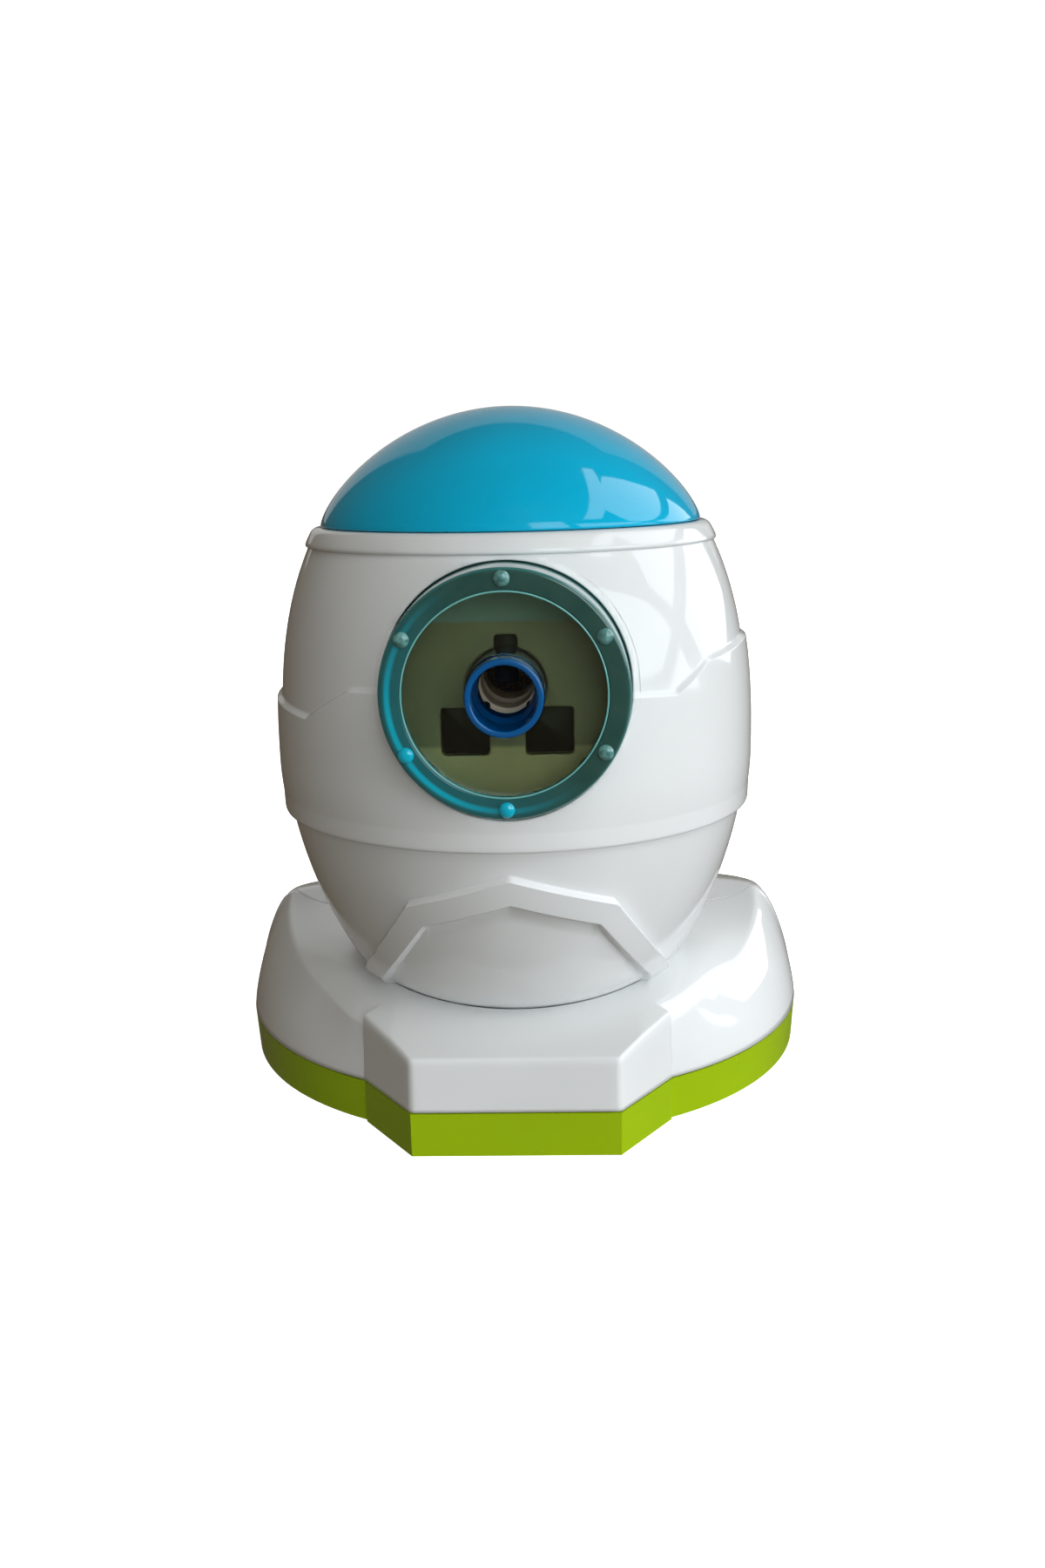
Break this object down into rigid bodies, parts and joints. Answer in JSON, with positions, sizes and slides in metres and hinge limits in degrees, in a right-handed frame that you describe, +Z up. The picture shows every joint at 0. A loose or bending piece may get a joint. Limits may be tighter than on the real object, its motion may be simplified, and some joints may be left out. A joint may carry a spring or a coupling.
{
  "type": "crank pencil sharpener",
  "caption": "Desk pencil sharpener: round white body on a lobed base, blue dome, teal porthole faceplate, rear crank and drawer.",
  "frame": {"origin": "underside of the base plate, on the vertical axis of the round body", "axes": "+X to the right seen from the front, +Y to the back where the crank is, +Z up"},
  "size_m": [0.1098, 0.1225, 0.1214],
  "materials": {
    "white_plastic": "smooth glossy white moulded plastic",
    "blue_plastic": "smooth glossy sky blue plastic",
    "lime_plastic": "satin lime green plastic",
    "rubber": "matt black rubber",
    "drawer_plastic": "satin white plastic",
    "teal_window": "clear teal tinted plastic",
    "blue_tube": "deep blue plastic",
    "carrier_plastic": "matt beige plastic",
    "black_jaw": "matt black plastic",
    "steel": "plain steel",
    "grey_plastic": "matt grey plastic",
    "brass": "turned brass"
  },
  "bodies": {
    "frame": {"egg_front_shell": "white_plastic", "egg_rear_shell": "white_plastic", "dome_cap": "blue_plastic", "base_front_cover": "white_plastic", "base_rear_cover": "white_plastic", "base_plate": "lime_plastic", "foot_pads": "rubber", "rod_bushes": "brass", "front_bulkhead": "grey_plastic", "pencil_guide": "carrier_plastic", "rear_bulkhead": "grey_plastic", "ring_gear": "grey_plastic", "rear_bush": "brass", "bulkhead_screws": "steel", "shell_screws": "steel", "body_screws": "steel", "base_screws": "steel"},
    "faceplate": {"window_plate": "teal_window", "pencil_tube": "blue_tube", "jaw_carrier": "carrier_plastic", "ring_clip": "steel", "guide_rods": "steel", "rod_clips": "steel"},
    "release": {"release_ring": "carrier_plastic"},
    "top_grip": {"top_jaw": "black_jaw"},
    "left_grip": {"left_jaw": "black_jaw"},
    "right_grip": {"right_jaw": "black_jaw"},
    "crank": {"cutter_cage": "steel", "cutter_axle": "steel", "crank_shaft": "steel", "crank_arm": "white_plastic", "crank_screw": "steel", "knob_pin": "steel"},
    "cutter": {"helical_cutter": "steel", "cutter_pinion": "brass"},
    "knob": {"crank_knob": "blue_plastic"},
    "drawer": {"shavings_drawer": "drawer_plastic"}
  },
  "joints": [
    {"name": "faceplate_slide", "type": "slide", "parent": "frame", "child": "faceplate", "axis": [0, -1, 0], "range_m": [0, 0.024], "stiffness_N_per_m": 120, "springref_m": -0.01},
    {"name": "release_turn", "type": "hinge", "parent": "faceplate", "child": "release", "pos_m": [0, -0.0259, 0.0784], "axis": [0, 1, 0], "range_deg": [0, 24.6], "stiffness_Nm_per_rad": 0.03},
    {"name": "top_jaw_slide", "type": "slide", "parent": "faceplate", "child": "top_grip", "axis": [0, 0, 1], "range_m": [0, 0.0034]},
    {"name": "left_jaw_slide", "type": "slide", "parent": "faceplate", "child": "left_grip", "axis": [-0.682, 0, -0.7314], "range_m": [0, 0.0035]},
    {"name": "right_jaw_slide", "type": "slide", "parent": "faceplate", "child": "right_grip", "axis": [0.682, 0, -0.7314], "range_m": [0, 0.0035]},
    {"name": "crank_turn", "type": "hinge", "parent": "frame", "child": "crank", "pos_m": [0, 0.0188, 0.0784], "axis": [0, 1, 0], "continuous": true},
    {"name": "cutter_spin", "type": "hinge", "parent": "crank", "child": "cutter", "pos_m": [0, 0.0127, 0.0838], "axis": [0, 0.9806, -0.1959], "continuous": true},
    {"name": "knob_spin", "type": "hinge", "parent": "crank", "child": "knob", "pos_m": [0, 0.06, 0.0404], "axis": [0, 1, 0], "continuous": true},
    {"name": "drawer_slide", "type": "slide", "parent": "frame", "child": "drawer", "axis": [0, 1, 0], "range_m": [0, 0.06]}
  ],
  "couplings": [
    {"joint": "release_turn", "follows": "top_jaw_slide", "rad_per_m": 123.2},
    {"joint": "left_jaw_slide", "follows": "top_jaw_slide", "ratio": 1},
    {"joint": "right_jaw_slide", "follows": "top_jaw_slide", "ratio": 1},
    {"joint": "cutter_spin", "follows": "crank_turn", "ratio": -2}
  ]
}
